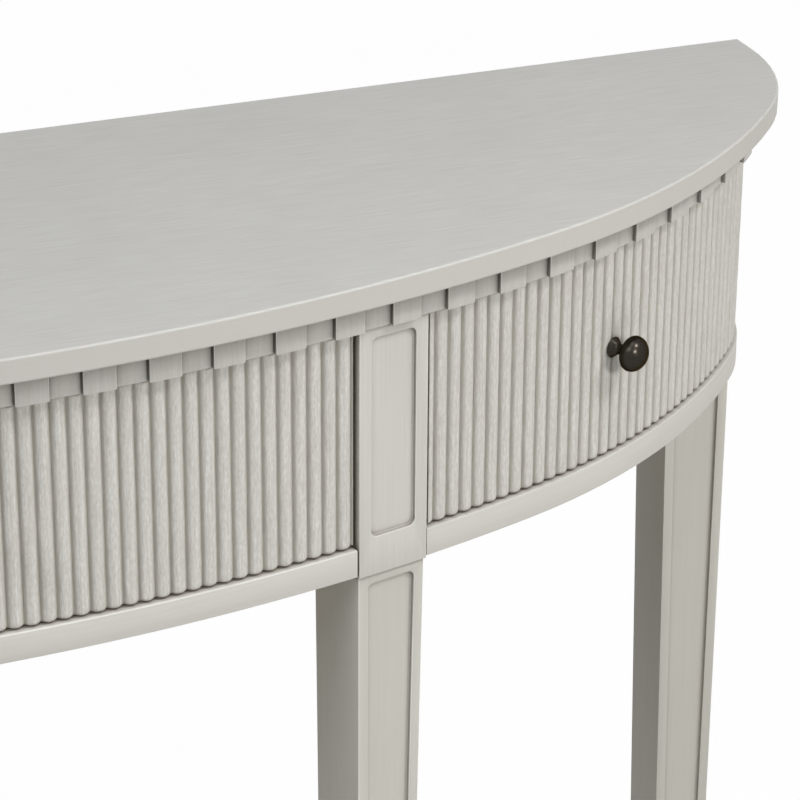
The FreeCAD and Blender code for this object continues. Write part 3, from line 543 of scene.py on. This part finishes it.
# Zinc-plated steel bolts hold the legs, and screws the top and knobs. Moulded nylon glides are pushed into
# the feet. The zinc's spangle and the nylon's scuffs are too fine to show, so they are drawn 2 to 3 mm wide.
ZINC_SPANGLE = 0.003
ZINC_TINT = "#B9BBBD"
ZINC_ROUGHNESS = (0.28, 0.5)
NYLON_SCUFF = 0.002
NYLON_TINT = "#2B2B2C"
NYLON_ROUGHNESS = (0.4, 0.6)
# The plating is a dull silver with patches of more and less shine.
zinc, tree, place, output = new_material("zinc_plated_steel")
spangle = add_node(tree, "ShaderNodeTexNoise", {"Vector": place, "Scale": 1 / ZINC_SPANGLE, "Detail": 2.0})
zinc_sheen = add_node(tree, "ShaderNodeMapRange", {
    "Value": spangle.outputs["Fac"], "To Min": ZINC_ROUGHNESS[0], "To Max": ZINC_ROUGHNESS[1]})
steel = add_node(tree, "ShaderNodeBsdfPrincipled", {
    "Base Color": linear(ZINC_TINT), "Metallic": 1.0, "Roughness": zinc_sheen.outputs["Result"]})
tree.links.new(steel.outputs["BSDF"], output.inputs["Surface"])
for node in ("leg_bolts", "top_screws", "centre_knob_screw", "right_knob_screw", "left_knob_screw"):
    refinish(node, zinc)
# The nylon is nearly black, with the soft shine of scuffed plastic.
nylon, tree, place, output = new_material("moulded_nylon")
scuffs = add_node(tree, "ShaderNodeTexNoise", {"Vector": place, "Scale": 1 / NYLON_SCUFF, "Detail": 3.0})
nylon_sheen = add_node(tree, "ShaderNodeMapRange", {
    "Value": scuffs.outputs["Fac"], "To Min": NYLON_ROUGHNESS[0], "To Max": NYLON_ROUGHNESS[1]})
plastic = add_node(tree, "ShaderNodeBsdfPrincipled", {
    "Base Color": linear(NYLON_TINT), "Roughness": nylon_sheen.outputs["Result"]})
tree.links.new(plastic.outputs["BSDF"], output.inputs["Surface"])
refinish("leg_glides", nylon)

# Plain pale floor, and a white surround for what the camera and polished metal see.
# The floor shows the table's shadow under it and turns to white farther away.
FLOOR_HALF = 8.0
FLOOR_TINT = "#F0EFEC"
WHITE = "#FFFFFF"
SHADOW_SPREAD = (1.1, 0.45, 1.0)
SHADOW_RANGE = (0.6, 1.0)
WHITE_SHARES = (0.5, 0.985)
AMBIENT = 0.05


def seen_share(tree):
    """Share that is 1 for what the camera, a reflection or a clear piece sees, and 0 for other light."""
    ray = add_node(tree, "ShaderNodeLightPath")
    seen = add_node(tree, "ShaderNodeMath", {
        0: ray.outputs["Is Camera Ray"], 1: ray.outputs["Is Glossy Ray"]}, operation="MAXIMUM")
    seen = add_node(tree, "ShaderNodeMath", {
        0: seen.outputs[0], 1: ray.outputs["Is Transmission Ray"]}, operation="MAXIMUM")
    return seen.outputs[0]


floor_shape = bmesh.new()
bmesh.ops.create_grid(floor_shape, x_segments=1, y_segments=1, size=FLOOR_HALF)
floor_mesh = bpy.data.meshes.new("floor")
floor_shape.to_mesh(floor_mesh)
floor_shape.free()
floor = bpy.data.objects.new("floor", floor_mesh)
bpy.context.scene.collection.objects.link(floor)
# Matt white paint, which takes the shadow softly and has no shine.
pale, tree, place, output = new_material("pale_floor")
spread = add_node(tree, "ShaderNodeMapping", {"Vector": place, "Scale": [1 / s for s in SHADOW_SPREAD]})
away = add_node(tree, "ShaderNodeVectorMath", {0: spread.outputs["Vector"]}, operation="LENGTH")
white_share = add_node(tree, "ShaderNodeMapRange", {
    "Value": away.outputs["Value"], "From Min": SHADOW_RANGE[0], "From Max": SHADOW_RANGE[1],
    "To Min": WHITE_SHARES[0], "To Max": WHITE_SHARES[1]})
glow_share = add_node(tree, "ShaderNodeMath", {
    0: seen_share(tree), 1: white_share.outputs["Result"]}, operation="MULTIPLY")
matt = add_node(tree, "ShaderNodeBsdfDiffuse", {"Color": linear(FLOOR_TINT)})
glow = add_node(tree, "ShaderNodeEmission", {"Color": linear(WHITE), "Strength": 1.0})
blended = add_node(tree, "ShaderNodeMixShader", {
    0: glow_share.outputs[0], 1: matt.outputs["BSDF"], 2: glow.outputs["Emission"]})
tree.links.new(blended.outputs["Shader"], output.inputs["Surface"])
floor_mesh.materials.append(pale)
world = bpy.data.worlds.new("white_studio")
world.use_nodes = True
bpy.context.scene.world = world
tree = world.node_tree
tree.nodes.clear()
dim = add_node(tree, "ShaderNodeBackground", {"Color": linear(WHITE), "Strength": AMBIENT})
bright = add_node(tree, "ShaderNodeBackground", {"Color": linear(WHITE), "Strength": 1.0})
blended = add_node(tree, "ShaderNodeMixShader", {
    0: seen_share(tree), 1: dim.outputs["Background"], 2: bright.outputs["Background"]})
add_node(tree, "ShaderNodeOutputWorld", {"Surface": blended.outputs["Shader"]})

# Soft studio light: two small softboxes in front on the right, and broad weak ones from the left and above.
# Each is given by its direction from a point near the right front post, its side, power and tint.
LIT_POINT = Vector((0.3, -0.12, 0.68))
SOFTBOX_DISTANCE = 3.2
SOFTBOXES = {
    "right_softbox": {"azimuth": 48, "elevation": 48, "side": 0.6, "watts": 40, "tint": "#FFFFFF"},
    "low_softbox": {"azimuth": 20, "elevation": 22, "side": 0.5, "watts": 40, "tint": "#FFFFFF"},
    "left_softbox": {"azimuth": -35, "elevation": 48, "side": 1.4, "watts": 21.5, "tint": "#F4F9FF"},
    "raking_softbox": {"azimuth": -70, "elevation": 40, "side": 0.8, "watts": 16.5, "tint": "#F4F9FF"},
    "overhead_softbox": {"azimuth": 20, "elevation": 80, "side": 1.6, "watts": 17, "tint": "#FFFFFF"},
}
for name, box in SOFTBOXES.items():
    lamp = bpy.data.lights.new(name, "AREA")
    lamp.size = box["side"]
    lamp.energy = box["watts"]
    lamp.color = linear(box["tint"])[:3]
    holder = bpy.data.objects.new(name, lamp)
    bpy.context.scene.collection.objects.link(holder)
    azimuth = math.radians(box["azimuth"])
    elevation = math.radians(box["elevation"])
    toward = Vector((math.sin(azimuth) * math.cos(elevation), -math.cos(azimuth) * math.cos(elevation),
                     math.sin(elevation)))
    holder.location = LIT_POINT + toward * SOFTBOX_DISTANCE
    holder.rotation_euler = toward.to_track_quat("Z", "Y").to_euler()

# Camera where the photograph was taken: in front of the left half, looking down to the right.
# Its place and angles come from fitting the table's own curve and dentils to the picture.
CAMERA_SIDE = -0.4613
CAMERA_HEIGHT = 1.7153
BACK_DISTANCE = 2.3423
YAW = math.radians(21.551)
PITCH = math.radians(25.165)
ROLL = math.radians(0.337)
SENSOR_WIDTH = 36.0
FOCAL_LENGTH = 150.29
camera_place = Vector((CAMERA_SIDE, cad_box[1][1] - BACK_DISTANCE, CAMERA_HEIGHT))
ahead = Vector((math.sin(YAW) * math.cos(PITCH), math.cos(YAW) * math.cos(PITCH), -math.sin(PITCH)))
level_right = Vector((math.cos(YAW), -math.sin(YAW), 0))
level_up = level_right.cross(ahead)
camera_right = level_right * math.cos(ROLL) + level_up * math.sin(ROLL)
camera_up = level_up * math.cos(ROLL) - level_right * math.sin(ROLL)
lens = bpy.data.cameras.new("photo_camera")
lens.sensor_width = SENSOR_WIDTH
lens.lens = FOCAL_LENGTH
camera = bpy.data.objects.new("photo_camera", lens)
bpy.context.scene.collection.objects.link(camera)
turn = Matrix((camera_right, camera_up, -ahead)).transposed()
camera.matrix_world = Matrix.Translation(camera_place) @ turn.to_4x4()
bpy.context.scene.camera = camera
bpy.context.scene.view_settings.view_transform = "Standard"
